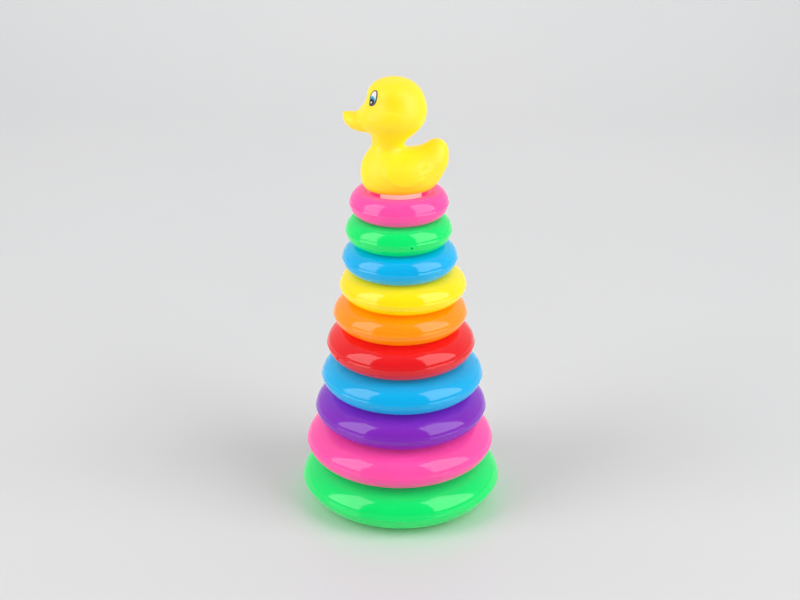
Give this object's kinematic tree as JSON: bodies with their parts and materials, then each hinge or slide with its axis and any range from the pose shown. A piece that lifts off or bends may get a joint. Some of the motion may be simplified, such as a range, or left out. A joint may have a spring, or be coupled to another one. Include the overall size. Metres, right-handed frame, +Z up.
{
  "type": "stacking ring tower",
  "caption": "Child's stacking tower: hollow plastic rings of falling size lie over a tapered column on a ring-shaped base, and a duck plugs onto the top.",
  "frame": {"origin": "on the table at the centre of the base ring", "axes": "+Z up along the column; the duck faces -X; -Y is the side that the viewer sees"},
  "size_m": [0.1282, 0.1282, 0.2788],
  "materials": {
    "pink_plastic": "glossy blow-moulded plastic",
    "green_plastic": "glossy blow-moulded plastic",
    "blue_plastic": "glossy blow-moulded plastic",
    "yellow_plastic": "glossy blow-moulded plastic",
    "orange_plastic": "glossy blow-moulded plastic",
    "red_plastic": "glossy blow-moulded plastic",
    "purple_plastic": "glossy blow-moulded plastic",
    "white_plastic": "satin white plastic",
    "duck_yellow_plastic": "soft satin blow-moulded plastic",
    "eye_print": "printed sticker: dark outline, white, cyan and black"
  },
  "bodies": {
    "base": {"base_ring": "green_plastic", "column": "white_plastic"},
    "ring_9_pink": {"ring_9_pink": "pink_plastic"},
    "ring_8_purple": {"ring_8_purple": "purple_plastic"},
    "ring_7_blue": {"ring_7_blue": "blue_plastic"},
    "ring_6_red": {"ring_6_red": "red_plastic"},
    "ring_5_orange": {"ring_5_orange": "orange_plastic"},
    "ring_4_yellow": {"ring_4_yellow": "yellow_plastic"},
    "ring_3_blue": {"ring_3_blue": "blue_plastic"},
    "ring_2_green": {"ring_2_green": "green_plastic"},
    "ring_1_pink": {"ring_1_pink": "pink_plastic"},
    "duck": {"duck_body": "duck_yellow_plastic", "eye_left": "eye_print", "eye_right": "eye_print"}
  },
  "joints": [
    {"name": "ring_9_lift", "type": "slide", "parent": "base", "child": "ring_9_pink", "axis": [0, 0, 1], "range_m": [0, 0.198]},
    {"name": "ring_8_lift", "type": "slide", "parent": "ring_9_pink", "child": "ring_8_purple", "axis": [0, 0, 1], "range_m": [0, 0.174]},
    {"name": "ring_7_lift", "type": "slide", "parent": "ring_8_purple", "child": "ring_7_blue", "axis": [0, 0, 1], "range_m": [0, 0.151]},
    {"name": "ring_6_lift", "type": "slide", "parent": "ring_7_blue", "child": "ring_6_red", "axis": [0, 0, 1], "range_m": [0, 0.129]},
    {"name": "ring_5_lift", "type": "slide", "parent": "ring_6_red", "child": "ring_5_orange", "axis": [0, 0, 1], "range_m": [0, 0.107]},
    {"name": "ring_4_lift", "type": "slide", "parent": "ring_5_orange", "child": "ring_4_yellow", "axis": [0, 0, 1], "range_m": [0, 0.088]},
    {"name": "ring_3_lift", "type": "slide", "parent": "ring_4_yellow", "child": "ring_3_blue", "axis": [0, 0, 1], "range_m": [0, 0.07]},
    {"name": "ring_2_lift", "type": "slide", "parent": "ring_3_blue", "child": "ring_2_green", "axis": [0, 0, 1], "range_m": [0, 0.052]},
    {"name": "ring_1_lift", "type": "slide", "parent": "ring_2_green", "child": "ring_1_pink", "axis": [0, 0, 1], "range_m": [0, 0.034]},
    {"name": "duck_lift", "type": "slide", "parent": "ring_1_pink", "child": "duck", "axis": [0, 0, 1], "range_m": [0, 0.02]}
  ]
}
